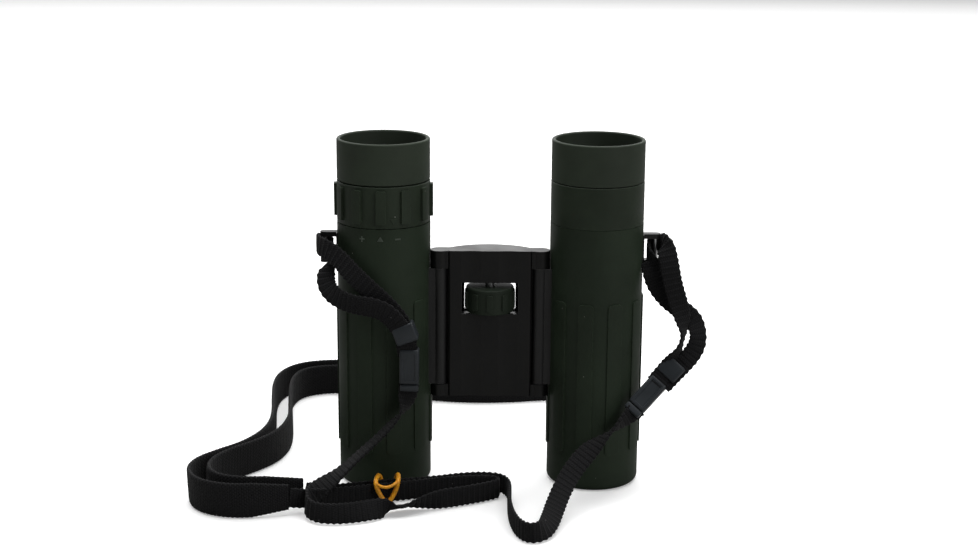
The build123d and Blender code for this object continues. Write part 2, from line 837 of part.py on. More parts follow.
def strap_tie():
    """An elastic band round the two tapes, upright across them."""
    outer = RectangleRounded(tie_half_width * 2, tie_half_height * 2, 1.6)
    side = tie_half_width - 2 * tie_radius
    inner = RectangleRounded(side * 2, (tie_half_height - 2 * tie_radius) * 2, 0.8)
    band = extrude(outer - inner, 2 * tie_radius)
    turn = math.radians(tie_turn)
    along = Vector(math.cos(turn), math.sin(turn), 0)
    across_tapes = Vector(-math.sin(turn), math.cos(turn), 0)
    return Plane(origin=tie_centre, x_dir=across_tapes, z_dir=along) * band


keeper_left_ends = ((-28.6, -19.9, 59.4), (-26.4, -20.1, 53.4))
lock_left_ends = ((-26.2, -19.0, 50.9), (-26.3, -19.0, 36.4))
keeper_right_ends = ((62.7, -11.0, 44.2), (58.4, -12.0, 39.6))
lock_right_ends = ((56.6, -12.2, 38.0), (47.0, -16.1, 28.3))


def barrel(left):
    """Every piece of one barrel, on the right. The left one has the diopter ring instead of the collar."""
    shoulder = ocular_cell_bottom - (diopter_travel + 0.1 if left else 0)
    housing = ocular_housing(shoulder)
    pieces = {
        "armour": armour(),
        "barrel_tube": barrel_tube(),
        "hinge_arm": hinge_arm(),
        "arm_screws": arm_screw_solids(),
        "objective_cell": objective_cell(),
        "objective_lens": objective_lens(),
        "objective_ring": objective_ring(),
        "focus_cell": focus_cell(),
        "focus_lens": focus_lens(),
        "prism_holder": prism_holder(),
        "prisms": prisms(),
        "ocular_housing": housing - diopter_slot() if left else housing,
        "field_stop": field_stop(),
        "ocular_cell": ocular_cell() - diopter_pin() if left else ocular_cell(),
        "ocular_lenses": ocular_lenses(),
        "eyecup": eyecup(),
        "strap_lug": strap_lug(),
        "lug_pin": lug_pin(),
    }
    if left:
        named = {f"{name}_left": mirror(piece, about=Plane.YZ) for name, piece in pieces.items()}
        named["diopter_ring"] = mirror(diopter_ring(), about=Plane.YZ)
        named["diopter_pin"] = mirror(diopter_pin(), about=Plane.YZ)
        return named
    named = {f"{name}_right": piece for name, piece in pieces.items()}
    named["collar_right"] = collar()
    return named


def bridge():
    return {
        "bridge_body": bridge_body(),
        "bridge_plate": bridge_plate(),
        "ear_caps": ear_caps(),
        "focus_wheel": focus_wheel(),
        "focus_screw": focus_screw(),
        "screw_bush": screw_bush(),
        "focus_carriage": focus_carriage(),
        "hinge_axle_left": hinge_axle(-1),
        "hinge_axle_right": hinge_axle(1),
    }


def strap():
    loops = {
        "left": cord("lug_loop_left", loop_left_route, tape_tube_radius),
        "right": cord("lug_loop_right", loop_right_route, tape_tube_radius),
    }
    tapes = {
        "left": cord("strap_tape_left", tape_left_route, tape_tube_radius),
        "right": cord("strap_tape_right", tape_right_route, tape_tube_radius),
    }
    buckles = {
        "left": (keeper_left_ends, lock_left_ends, (1, 0, 0.2)),
        "right": (keeper_right_ends, lock_right_ends, (0.6, 0.3, -0.7)),
    }
    pieces = {}
    for side, (keeper_ends, lock_ends, facing) in buckles.items():
        pieces[f"lug_loop_{side}"] = loops[side]
        pieces[f"strap_tape_{side}"] = tapes[side]
        keeper = buckle(keeper_size, *keeper_ends, facing)
        pieces[f"strap_keeper_{side}"] = keeper - loops[side]
        lock = buckle(lock_size, *lock_ends, facing)
        pieces[f"cord_lock_{side}"] = lock - loops[side] - tapes[side]
    pieces["neck_webbing"] = cord("neck_webbing", webbing_route, webbing_tube_radius)
    pieces["strap_tie"] = strap_tie()
    return pieces


os.makedirs("parts", exist_ok=True)
for name, piece in {**barrel(True), **barrel(False), **bridge(), **strap()}.items():
    solids = piece.solids()
    whole = solids[0] if len(solids) == 1 else Compound(children=list(solids))
    whole.label = name
    export_step(whole, f"parts/{name}.step")
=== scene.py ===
"""Looks of the compact folding binoculars and of their strap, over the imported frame."""
import math

import bmesh
import bpy
from mathutils import Matrix, Vector


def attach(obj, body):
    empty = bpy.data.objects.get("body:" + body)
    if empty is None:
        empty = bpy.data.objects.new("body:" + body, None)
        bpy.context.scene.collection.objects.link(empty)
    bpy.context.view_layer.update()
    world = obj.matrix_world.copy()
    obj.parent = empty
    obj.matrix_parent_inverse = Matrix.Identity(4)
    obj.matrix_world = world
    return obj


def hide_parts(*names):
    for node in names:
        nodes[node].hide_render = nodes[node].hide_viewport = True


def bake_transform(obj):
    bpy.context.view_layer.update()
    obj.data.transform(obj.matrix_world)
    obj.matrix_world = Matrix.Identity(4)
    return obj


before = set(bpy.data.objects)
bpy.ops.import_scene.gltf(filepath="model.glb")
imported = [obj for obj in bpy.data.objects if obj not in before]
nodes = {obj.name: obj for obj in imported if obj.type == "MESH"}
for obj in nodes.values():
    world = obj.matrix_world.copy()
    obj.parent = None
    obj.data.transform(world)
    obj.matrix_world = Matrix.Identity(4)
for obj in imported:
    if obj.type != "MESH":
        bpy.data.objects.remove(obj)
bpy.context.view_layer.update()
scene = bpy.context.scene

BARREL_X = 0.0354
ARMOUR_RADIUS = 0.0155


# ---------------------------------------------------------------- camera

def place_camera():
    camera = bpy.data.cameras.new("camera")
    camera.lens = 64.03
    camera.sensor_width = 36.0
    camera.clip_start = 0.01
    holder = bpy.data.objects.new("camera", camera)
    scene.collection.objects.link(holder)
    forward = Vector((0.00004, 0.96937, -0.24562)).normalized()
    level = forward.cross(Vector((0, 0, 1))).normalized()
    top = level.cross(forward)
    roll = math.radians(0.42)
    right = level * math.cos(roll) + top * math.sin(roll)
    up = top * math.cos(roll) - level * math.sin(roll)
    turn = Matrix((right, up, -forward)).transposed().to_4x4()
    holder.matrix_world = Matrix.Translation((-0.000378, -0.564234, 0.213906)) @ turn
    scene.camera = holder


# ---------------------------------------------------------------- strap routes, in metres

LOOP_LEFT = [
    (-0.0266, -0.0186, 0.0489), (-0.027, -0.0189, 0.054), (-0.0288, -0.0189, 0.0592), (-0.0318, -0.0189, 0.0634), (-0.0357, -0.0189, 0.0673),
    (-0.04, -0.0184, 0.0711), (-0.0447, -0.0167, 0.0752), (-0.0487, -0.0134, 0.0788), (-0.0525, -0.0102, 0.0812), (-0.056, -0.0068, 0.082),
    (-0.05735, -0.002, 0.0818), (-0.05735, 0.00245, 0.0814), (-0.05265, 0.00245, 0.0804), (-0.05265, -0.0046, 0.0788), (-0.054, -0.0084, 0.0742),
    (-0.054, -0.0108, 0.0706), (-0.0521, -0.0132, 0.0678), (-0.0483, -0.0164, 0.0661), (-0.0432, -0.02, 0.0655), (-0.0385, -0.0218, 0.0655),
    (-0.0342, -0.0222, 0.0642), (-0.0309, -0.0222, 0.0612), (-0.0285, -0.0219, 0.0575), (-0.0272, -0.0213, 0.0535), (-0.0268, -0.02, 0.0487),
]
LOOP_LEFT_WIDTHS = [
    (1, 0, 0.1), (0.95, 0, 0.3), (0.86, 0, 0.5), (0.75, 0, 0.65), (0.66, 0, 0.75), (0.66, 0, 0.75), (0.6, 0, 0.8), (0.5, 0, 0.86),
    (0.3, 0, 0.95), (0.1, 0, 1), (0, 0, 1), (0, 0, 1), (0, 0, 1), (0, 0.1, 1), (0.55, 0.3, 0.7), (0.75, 0.1, 0.6),
    (0.5, 0, 0.86), (0.15, 0, 1), (0, 0, 1), (0.2, 0, 0.97), (0.5, 0, 0.85), (0.72, 0, 0.68), (0.86, 0, 0.5), (0.97, 0, 0.2),
    (1, 0, 0.1),
]
LOOP_RIGHT = [
    (0.0549, -0.014, 0.0378), (0.0579, -0.013, 0.0411), (0.0609, -0.012, 0.0447), (0.0631, -0.0115, 0.0497), (0.0644, -0.0112, 0.0545),
    (0.0638, -0.011, 0.0596), (0.0618, -0.0105, 0.0656), (0.06, -0.0098, 0.0715), (0.059, -0.0088, 0.0773), (0.058, -0.0068, 0.0818),
    (0.0574, -0.003, 0.0834), (0.05735, 0.00245, 0.0816), (0.05265, 0.00245, 0.0804), (0.05265, -0.0042, 0.0784), (0.0533, -0.005, 0.0748),
    (0.0548, -0.0058, 0.0699), (0.0581, -0.0064, 0.0654), (0.0621, -0.007, 0.0622), (0.0664, -0.0078, 0.0597), (0.0691, -0.0088, 0.0555),
    (0.0693, -0.0098, 0.051), (0.0673, -0.0108, 0.0472), (0.0643, -0.0118, 0.044), (0.061, -0.0128, 0.0408), (0.0572, -0.0142, 0.0371),
]
LOOP_RIGHT_WIDTHS = [
    (0.75, -0.35, -0.56), (0.75, -0.35, -0.56), (0.7, 0.2, -0.6), (0.3, 0.95, -0.1), (0.3, 0.95, 0), (0.85, 0.5, 0.1), (1, 0, 0.2), (1, 0, 0.25),
    (1, 0, 0.25), (0.8, 0.1, 0.6), (0.1, 0.1, 1), (0, 0, 1), (0, 0, 1), (0, 0.1, 1), (0.9, 0.2, 0.4), (0.85, 0, 0.5),
    (0.72, 0, 0.7), (0.72, 0, 0.7), (0.75, 0, 0.66), (0.85, 0.5, 0.1), (0.85, 0.3, -0.3), (0.8, 0, -0.55), (0.75, -0.1, -0.56), (0.75, -0.35, -0.56),
    (0.75, -0.35, -0.56),
]
TAPE_LEFT = [
    (-0.0264, -0.019, 0.0384), (-0.0268, -0.0194, 0.0334), (-0.0284, -0.0204, 0.0296), (-0.0312, -0.0218, 0.0266), (-0.0366, -0.0242, 0.0214),
    (-0.0426, -0.0266, 0.0164), (-0.0484, -0.0292, 0.0114), (-0.054, -0.0322, 0.0078), (-0.0582, -0.0364, 0.0054), (-0.0586, -0.0418, 0.0044),
    (-0.055, -0.0456, 0.0039), (-0.0492, -0.0464, 0.0038), (-0.042, -0.0448, 0.0038), (-0.036, -0.0412, 0.0037), (-0.0293, -0.0368, 0.0024),
    (-0.022, -0.0346, 0.0035), (-0.015, -0.0322, 0.0037), (-0.0096, -0.03, 0.0037), (-0.0018, -0.0262, 0.0037), (0.004, -0.0222, 0.0037),
    (0.002, -0.0192, 0.0037), (-0.005, -0.019, 0.0037), (-0.0138, -0.0206, 0.0037), (-0.0224, -0.0236, 0.0038), (-0.0316, -0.0262, 0.0037),
    (-0.0404, -0.029, 0.0038), (-0.049, -0.0322, 0.004), (-0.0572, -0.0354, 0.0046), (-0.0641, -0.03765, 0.0058),
]
TAPE_LEFT_WIDTHS = [
    (1, 0, 0.1), (0.8, 0.6, 0), (0.3, 0.95, 0), (0, 1, 0.1), (0, 1, 0.15), (0, 1, 0.2), (0, 0.95, 0.3), (0, 0.75, 0.66),
    (0, 0.35, 0.94), (0.1, 0, 1), (0, 0.1, 1), (0, 0.15, 1), (0, 0.3, 0.95), (0, 0.6, 0.8), (0.2, -1, 0.12), (0.1, -0.6, 0.8),
    (0, 0.05, 1), (0, 0, 1), (0, 0, 1), (0, 0, 1), (0, 0, 1), (0, 0, 1), (0, 0, 1), (0, 0, 1),
    (0, 0, 1), (0, 0, 1), (0, 0, 1), (0, 0, 1), (0, 0, 1),
]
TAPE_RIGHT = [
    (0.0494, -0.0155, 0.0298), (0.0446, -0.0176, 0.0256), (0.0382, -0.0204, 0.0214), (0.0326, -0.0240, 0.0174),
    (0.0276, -0.0294, 0.0132), (0.0238, -0.0362, 0.0090), (0.0212, -0.0438, 0.0056), (0.0194, -0.0518, 0.0040),
    (0.0172, -0.0586, 0.0037), (0.0128, -0.0608, 0.0036), (0.0094, -0.0560, 0.0035), (0.0076, -0.0484, 0.0036),
    (0.0068, -0.0398, 0.0035), (0.0068, -0.0310, 0.0036), (0.0070, -0.0230, 0.0035), (0.0048, -0.0172, 0.0036),
    (-0.0014, -0.0152, 0.0035), (-0.0092, -0.0166, 0.0036), (-0.0174, -0.0194, 0.0035), (-0.0264, -0.0220, 0.0036),
    (-0.0356, -0.0236, 0.0035), (-0.0444, -0.0262, 0.0036), (-0.0528, -0.0294, 0.0038), (-0.0599, -0.03165, 0.0056),
]
TAPE_RIGHT_WIDTHS = [
    (0.7, 0.1, -0.7), (0.5, 0.7, -0.4), (0.1, 1, 0), (-0.45, 0.6, 0.5), (-0.75, 0.1, 0.6), (-0.9, 0, 0.42), (-0.92, 0, 0.38),
    (-0.8, 0.05, 0.55), (-0.35, 0.05, 0.93), (0, 0, 1), (0, 0, 1), (0, 0, 1), (0, 0, 1), (0, 0, 1), (0, 0, 1), (0, 0, 1),
    (0, 0, 1), (0, 0, 1), (0, 0, 1), (0, 0, 1), (0, 0, 1), (0, 0, 1), (0, 0, 1), (0, 0, 1),
]
WEBBING = [
    (-0.0646, -0.0378, 0.0061), (-0.0720, -0.0400, 0.0062), (-0.0800, -0.0416, 0.0061), (-0.0886, -0.0402, 0.0062),
    (-0.0956, -0.0346, 0.0061), (-0.0990, -0.0260, 0.0062), (-0.0974, -0.0170, 0.0061), (-0.0916, -0.0096, 0.0062),
    (-0.0848, -0.0018, 0.0061), (-0.0796, 0.0086, 0.0062), (-0.0774, 0.0210, 0.0061), (-0.0780, 0.0353, 0.0062),
    (-0.0800, 0.0512, 0.0061), (-0.0816, 0.0665, 0.0062), (-0.0808, 0.0797, 0.0061), (-0.0754, 0.0899, 0.0062),
    (-0.0656, 0.0945, 0.0061), (-0.0538, 0.0943, 0.0062), (-0.0414, 0.0919, 0.0061), (-0.0290, 0.0879, 0.0062),
    (-0.0162, 0.0841, 0.0061), (-0.0034, 0.0829, 0.0062), (0.0094, 0.0853, 0.0061), (0.0218, 0.0897, 0.0062),
    (0.0322, 0.0905, 0.0061), (0.0366, 0.0847, 0.0062), (0.0310, 0.0807, 0.0061), (0.0208, 0.0805, 0.0062),
    (0.0092, 0.0781, 0.0061), (-0.0036, 0.0765, 0.0062), (-0.0170, 0.0779, 0.0061), (-0.0302, 0.0815, 0.0062),
    (-0.0428, 0.0853, 0.0061), (-0.0544, 0.0877, 0.0062), (-0.0650, 0.0873, 0.0061), (-0.0726, 0.0823, 0.0062),
    (-0.0754, 0.0735, 0.0061), (-0.0752, 0.0615, 0.0062), (-0.0734, 0.0470, 0.0061), (-0.0714, 0.0323, 0.0062),
    (-0.0716, 0.0198, 0.0061), (-0.0746, 0.0084, 0.0062), (-0.0808, -0.0004, 0.0061), (-0.0876, -0.0082, 0.0062),
    (-0.0924, -0.0164, 0.0061), (-0.0928, -0.0254, 0.0062), (-0.0884, -0.0322, 0.0061), (-0.0808, -0.0350, 0.0062),
    (-0.0726, -0.0346, 0.0061), (-0.0658, -0.0330, 0.0062), (-0.0604, -0.0318, 0.0061),
]


# ---------------------------------------------------------------- wiring of materials

class Wiring:
    """Adds nodes to a material's or a group's tree and joins them up."""

    def __init__(self, tree):
        self.tree = tree

    def add(self, kind, inputs=None, **settings):
        node = self.tree.nodes.new(kind)
        for key, value in settings.items():
            setattr(node, key, value)
        for key, value in (inputs or {}).items():
            if isinstance(value, bpy.types.NodeSocket):
                self.tree.links.new(value, node.inputs[key])
            else:
                node.inputs[key].default_value = value
        return node

    def math(self, operation, first, second=None, clamp=False):
        inputs = {0: first} if second is None else {0: first, 1: second}
        return self.add("ShaderNodeMath", inputs, operation=operation, use_clamp=clamp).outputs[0]

    def between(self, value, low, high, to_low=0.0, to_high=1.0):
        inputs = {0: value, 1: low, 2: high, 3: to_low, 4: to_high}
        return self.add("ShaderNodeMapRange", inputs, interpolation_type="SMOOTHSTEP").outputs[0]

    def blend_colours(self, share, first, second, way="MIX"):
        inputs = {0: share, 6: first, 7: second}
        node = self.add("ShaderNodeMix", inputs, data_type="RGBA", blend_type=way)
        return node.outputs[2]

    def noise(self, place, scale, detail=2.0, roughness=0.5):
        inputs = {"Vector": place, "Scale": scale, "Detail": detail, "Roughness": roughness}
        return self.add("ShaderNodeTexNoise", inputs).outputs["Fac"]


def new_group(name, inputs, outputs):
    """A node group with named sockets. Returns its wiring and its two ends."""
    tree = bpy.data.node_groups.new(name, "ShaderNodeTree")
    for label, kind, start in inputs:
        socket = tree.interface.new_socket(label, in_out="INPUT", socket_type=kind)
        if start is not None:
            socket.default_value = start
    for label, kind in outputs:
        tree.interface.new_socket(label, in_out="OUTPUT", socket_type=kind)
    wiring = Wiring(tree)
    return wiring, wiring.add("NodeGroupInput").outputs, wiring.add("NodeGroupOutput").inputs


VECTOR, FLOAT = "NodeSocketVector", "NodeSocketFloat"


def make_grain():
    """The fine pebbled skin that a mould leaves on rubber and plastic."""
    wiring, given, out = new_group(
        "moulded grain", [("Place", VECTOR, None), ("Scale", FLOAT, 2600.0)], [("Height", FLOAT), ("Patches", FLOAT)]
    )
    pebble = wiring.add(
        "ShaderNodeTexVoronoi", {"Vector": given["Place"], "Scale": given["Scale"]}, feature="SMOOTH_F1"
    ).outputs["Distance"]
    rough = wiring.noise(given["Place"], wiring.math("MULTIPLY", given["Scale"], 0.6), 4.0, 0.6)
    height = wiring.math("ADD", wiring.math("MULTIPLY", pebble, 0.6), wiring.math("MULTIPLY", rough, 0.5))
    wiring.tree.links.new(height, out["Height"])
    patches = wiring.noise(given["Place"], wiring.math("MULTIPLY", given["Scale"], 0.02), 3.0, 0.55)
    wiring.tree.links.new(wiring.between(patches, 0.3, 0.7), out["Patches"])
    return wiring.tree


def make_dust():
    """Scattered specks of dust and lint, a few tenths of a millimetre wide."""
    wiring, given, out = new_group(
        "dust specks", [("Place", VECTOR, None), ("Amount", FLOAT, 0.06), ("Scale", FLOAT, 420.0)], [("Specks", FLOAT)]
    )
    cells = wiring.add("ShaderNodeTexVoronoi", {"Vector": given["Place"], "Scale": given["Scale"]})
    chance = wiring.add("ShaderNodeSeparateColor", {0: cells.outputs["Color"]}).outputs
    size = wiring.between(chance[1], 0.0, 1.0, 0.03, 0.11)
    near = wiring.math("LESS_THAN", cells.outputs["Distance"], size)
    chosen = wiring.math("LESS_THAN", chance[0], given["Amount"])
    wiring.tree.links.new(wiring.math("MULTIPLY", near, chosen), out["Specks"])
    return wiring.tree


def make_worn_edge():
    """Where an edge is rubbed: a mask that is 1 along sharp edges and breaks up along its side."""
    wiring, given, out = new_group(
        "worn edges", [("Place", VECTOR, None), ("Width", FLOAT, 0.0004)], [("Edges", FLOAT)]
    )
    rounded = wiring.add("ShaderNodeBevel", {"Radius": given["Width"]}, samples=4).outputs["Normal"]
    flat = wiring.add("ShaderNodeNewGeometry").outputs["Normal"]
    turn = wiring.add("ShaderNodeVectorMath", {0: rounded, 1: flat}, operation="DOT_PRODUCT").outputs["Value"]
    bare = wiring.between(wiring.math("SUBTRACT", 1.0, turn), 0.02, 0.12)
    patchy = wiring.between(wiring.noise(given["Place"], 700.0, 4.0, 0.7), 0.35, 0.6)
    wiring.tree.links.new(wiring.math("MULTIPLY", bare, patchy), out["Edges"])
    return wiring.tree


def make_weave():
    """Threads over and under each other, from a lay that holds millimetres across and along the cloth."""
    wiring, given, out = new_group(
        "weave",
        [("Lay", VECTOR, None), ("Across", FLOAT, 0.9), ("Along", FLOAT, 0.9), ("Offset", FLOAT, 0.5)],
        [("Height", FLOAT), ("Fibres", FLOAT)],
    )
    parts = wiring.add("ShaderNodeSeparateXYZ", {0: given["Lay"]}).outputs
    along = wiring.math("DIVIDE", parts[1], given["Along"])
    row = wiring.math("MODULO", wiring.math("FLOOR", along), 2.0)
    shift = wiring.math("MULTIPLY", wiring.math("ABSOLUTE", row), given["Offset"])
    column = wiring.math("ADD", wiring.math("DIVIDE", parts[0], given["Across"]), shift)
    bumps = []
    for value in (along, column):
        centred = wiring.math("SUBTRACT", wiring.math("FRACT", value), 0.5)
        bumps.append(wiring.math("COSINE", wiring.math("MULTIPLY", centred, math.pi)))
    height = wiring.math("POWER", wiring.math("MULTIPLY", bumps[0], bumps[1]), 0.6)
    wiring.tree.links.new(height, out["Height"])
    stretched = wiring.add("ShaderNodeVectorMath", {0: given["Lay"], 1: (9.0, 1.6, 4.0)}, operation="MULTIPLY")
    wiring.tree.links.new(wiring.noise(stretched.outputs[0], 1.0, 4.0, 0.7), out["Fibres"])
    return wiring.tree


GRAIN, DUST, WORN, WEAVE = make_grain(), make_dust(), make_worn_edge(), make_weave()


class Finish(Wiring):
    """A material with its shader, its Object coordinates and the shared groups."""

    def __init__(self, name, **sockets):
        self.material = bpy.data.materials.new(name)
        self.material.use_nodes = True
        super().__init__(self.material.node_tree)
        self.shader = self.tree.nodes["Principled BSDF"]
        for key, value in sockets.items():
            self.shader.inputs[key.replace("_", " ")].default_value = value
        self.place = self.add("ShaderNodeTexCoord").outputs["Object"]

    def group(self, tree, inputs):
        return self.add("ShaderNodeGroup", inputs, node_tree=tree).outputs

    def feed(self, **sockets):
        for key, value in sockets.items():
            self.tree.links.new(value, self.shader.inputs[key.replace("_", " ")])

    def bump(self, height, strength, distance):
        node = self.add("ShaderNodeBump", {"Height": height, "Strength": strength, "Distance": distance})
        self.feed(Normal=node.outputs["Normal"])


def shade(colour, factor):
    return tuple(min(1.0, part * factor) for part in colour[:3]) + (1.0,)


def moulded(name, colour, roughness, specular=0.3, grain=2600.0, bumpiness=0.12, dust=0.05, wear=0.5, **more):
    """Matt rubber or plastic out of a mould, with grain, patches of sheen, dust and paler edges."""
    finish = Finish(name, Specular_IOR_Level=specular, **more)
    skin = finish.group(GRAIN, {"Place": finish.place, "Scale": grain})
    specks = finish.group(DUST, {"Place": finish.place, "Amount": dust})["Specks"]
    edges = finish.group(WORN, {"Place": finish.place, "Width": 0.0004})["Edges"]
    body = finish.blend_colours(skin["Patches"], shade(colour, 0.85), shade(colour, 1.2))
    rubbed = finish.blend_colours(finish.math("MULTIPLY", edges, wear), body, shade(colour, 2.6))
    dusty = finish.blend_colours(finish.math("MULTIPLY", specks, 0.7), rubbed, (0.22, 0.23, 0.2, 1))
    finish.feed(Base_Color=dusty)
    finish.feed(Roughness=finish.between(skin["Patches"], 0.0, 1.0, roughness - 0.05, roughness + 0.06))
    finish.bump(skin["Height"], bumpiness, 0.00006)
    return finish.material


def metal(name, colour, roughness, metallic=1.0, wear=0.4, brushing=(900.0, 900.0, 40.0)):
    """Turned or anodised metal, with fine lines along its length and rubbed edges."""
    finish = Finish(name, Metallic=metallic)
    lines = finish.add("ShaderNodeVectorMath", {0: finish.place, 1: brushing}, operation="MULTIPLY").outputs[0]
    grain = finish.noise(lines, 1.0, 4.0, 0.6)
    edges = finish.group(WORN, {"Place": finish.place, "Width": 0.0003})["Edges"]
    body = finish.blend_colours(grain, shade(colour, 0.85), shade(colour, 1.12))
    finish.feed(Base_Color=finish.blend_colours(finish.math("MULTIPLY", edges, wear), body, (0.42, 0.42, 0.43, 1)))
    finish.feed(Roughness=finish.between(grain, 0.3, 0.7, roughness - 0.06, roughness + 0.08))
    finish.bump(grain, 0.06, 0.00004)
    return finish.material


def cloth(name, colour, across, along, offset, strength):
    """Woven strap cloth, with painted shade between its threads and painted light on their crowns. Its lay, in
    millimetres, is kept on the mesh.
    """
    finish = Finish(name, Roughness=0.82, Specular_IOR_Level=0.14, Sheen_Weight=0.04, Sheen_Roughness=0.4)
    lay = finish.add("ShaderNodeAttribute", attribute_name="lay").outputs["Vector"]
    threads = finish.group(WEAVE, {"Lay": lay, "Across": across, "Along": along, "Offset": offset})
    specks = finish.group(DUST, {"Place": finish.place, "Amount": 0.03, "Scale": 500.0})["Specks"]
    # Painted shade and light: one thread colour, darkened in the gaps between threads and lightened on their crowns.
    body = finish.blend_colours(threads["Height"], shade(colour, 0.35), shade(colour, 1.25))
    body = finish.blend_colours(finish.math("MULTIPLY", threads["Fibres"], 0.5), body, shade(colour, 1.9))
    finish.feed(Base_Color=finish.blend_colours(finish.math("MULTIPLY", specks, 0.5), body, (0.2, 0.2, 0.2, 1)))
    together = finish.math("ADD", threads["Height"], finish.math("MULTIPLY", threads["Fibres"], 0.35))
    finish.bump(together, strength, 0.00025)
    return finish.material


def coated_glass(name, tint, roughness=0.02):
    finish = Finish(
        name, Roughness=roughness, Transmission_Weight=1.0, IOR=1.52, Coat_Weight=0.6, Coat_Roughness=0.02
    )
    finish.shader.inputs["Coat Tint"].default_value = tint
    smudge = finish.noise(finish.place, 90.0, 3.0, 0.6)
    finish.feed(Base_Color=finish.blend_colours(smudge, (0.86, 0.93, 0.9, 1), (0.96, 1.0, 0.98, 1)))
    return finish.material


def elastic(name, colour):
    """A rubber band with faint lengthwise streaks."""
    finish = Finish(name, Roughness=0.42, Specular_IOR_Level=0.4, Subsurface_Weight=0.15)
    finish.shader.inputs["Subsurface Radius"].default_value = (0.001, 0.0005, 0.0001)
    streaks = finish.noise(finish.place, 900.0, 3.0, 0.6)
    finish.feed(Base_Color=finish.blend_colours(finish.between(streaks, 0.3, 0.7), shade(colour, 0.7), shade(colour, 1.2)))
    finish.bump(streaks, 0.25, 0.0001)
    return finish.material


green_armour = moulded("green rubber armour", (0.0165, 0.0250, 0.0150), 0.55, 0.17, 2400.0, 0.14, 0.075)
green_eyecup = moulded("green eyecup rubber", (0.0270, 0.0355, 0.0245), 0.62, 0.2, 2600.0, 0.16, 0.06)
green_collar = moulded("green collar plastic", (0.0190, 0.0270, 0.0170), 0.52, 0.18, 2800.0, 0.10, 0.06)
green_wheel = moulded("green wheel rubber", (0.0140, 0.0195, 0.0130), 0.55, 0.16, 2800.0, 0.12, 0.03)
black_bridge = moulded("black bridge plastic", (0.0050, 0.0050, 0.0050), 0.36, 0.22, 3200.0, 0.07, 0.012, wear=0.3)
black_hinge = metal("black anodised hinge", (0.013, 0.013, 0.0135), 0.45, 0.35, 0.25)
black_lug = moulded("black lug enamel", (0.0095, 0.0095, 0.0095), 0.45, 0.3, 3000.0, 0.06, 0.02)
black_tube = metal("black anodised tube", (0.02, 0.02, 0.021), 0.5, 0.6, 0.1)
matt_black = moulded("matt black inside", (0.006, 0.006, 0.006), 0.85, 0.1, 1800.0, 0.2, 0.0, wear=0.0)
bare_steel = metal("turned steel", (0.50, 0.50, 0.51), 0.3)
bush_brass = metal("bearing brass", (0.68, 0.49, 0.22), 0.32)
cast_alloy = metal("machined alloy", (0.60, 0.60, 0.61), 0.38)
buckle_grey = moulded("dark buckle plastic", (0.0250, 0.0290, 0.0330), 0.40, 0.25, 3600.0, 0.05, 0.05, wear=0.45)
# Painted shade: the buckle plastic again, darker, for the recessed ends of the keepers and locks.
buckle_recess_shade = moulded("buckle plastic with painted recess shade", (0.0130, 0.0135, 0.0150), 0.5, 0.3, 3600.0, 0.05, 0.02, wear=0.2)
tape_cloth = cloth("ribbed strap tape", (0.0075, 0.0075, 0.0080), 0.75, 0.95, 0.5, 0.75)
webbing_cloth = cloth("woven neck webbing", (0.0085, 0.0085, 0.0090), 1.15, 0.75, 0.5, 0.85)
front_glass = coated_glass("coated objective glass", (0.55, 0.85, 0.65, 1))
eye_glass = coated_glass("coated eye glass", (0.75, 0.6, 0.9, 1))
amber_band = elastic("amber rubber band", (0.80, 0.34, 0.015))
pad_mark = moulded("raised mark rubber", (0.050, 0.062, 0.048), 0.5, 0.3, 2800.0, 0.05, 0.0)


def dress(finish, *names):
    for name in names:
        mesh = nodes[name].data
        mesh.materials.clear()
        mesh.materials.append(finish)


def both(*names):
    return [f"{name}_{side}" for name in names for side in ("left", "right")]


dress(green_armour, *both("armour"))
dress(green_eyecup, *both("eyecup"))
dress(green_collar, "collar_right", "diopter_ring")
dress(green_wheel, "focus_wheel")
dress(black_bridge, "bridge_body", "bridge_plate", "ear_caps")
dress(black_hinge, *both("hinge_arm"))
dress(black_lug, *both("strap_lug"))
dress(black_tube, *both("barrel_tube", "objective_cell", "objective_ring", "focus_cell"))
dress(matt_black, *both("prism_holder", "ocular_housing", "field_stop", "ocular_cell"))
dress(bare_steel, *both("hinge_axle", "arm_screws", "lug_pin"), "focus_screw", "diopter_pin")
dress(bush_brass, "screw_bush")
dress(cast_alloy, "focus_carriage")
dress(front_glass, *both("objective_lens", "focus_lens", "prisms"))
dress(eye_glass, *both("ocular_lenses"))


# ---------------------------------------------------------------- making pieces

def finished(name, bm, finish, body, stands_for=(), angle=35.0, extra=()):
    """Turns a bmesh into a piece that rides on a body and takes the place of its CAD nodes."""
    mesh = bpy.data.meshes.new(name)
    bm.to_mesh(mesh)
    bm.free()
    for material in (finish, *extra):
        mesh.materials.append(material)
    mesh.shade_smooth()
    mesh.set_sharp_from_angle(angle=math.radians(angle))
    piece = bpy.data.objects.new(name, mesh)
    scene.collection.objects.link(piece)
    if body:
        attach(piece, body)
    if stands_for:
        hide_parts(*stands_for)
    return piece


def smooth_line(points, steps=24, closed=False):
    """Points along the smooth line that its control points pull."""
    curve = bpy.data.curves.new("line", "CURVE")
    curve.dimensions = "3D"
    spline = curve.splines.new("NURBS")
    spline.points.add(len(points) - 1)
    for point, place in zip(spline.points, points):
        point.co = (*place, 1)
    spline.order_u = 3
    spline.use_cyclic_u = closed
    spline.use_endpoint_u = not closed
    spline.resolution_u = steps
    carrier = bpy.data.objects.new("line", curve)
    scene.collection.objects.link(carrier)
    bpy.context.view_layer.update()
    mesh = bpy.data.meshes.new_from_object(carrier)
    line = [vertex.co.copy() for vertex in mesh.vertices]
    bpy.data.objects.remove(carrier)
    bpy.data.curves.remove(curve)
    bpy.data.meshes.remove(mesh)
    return line


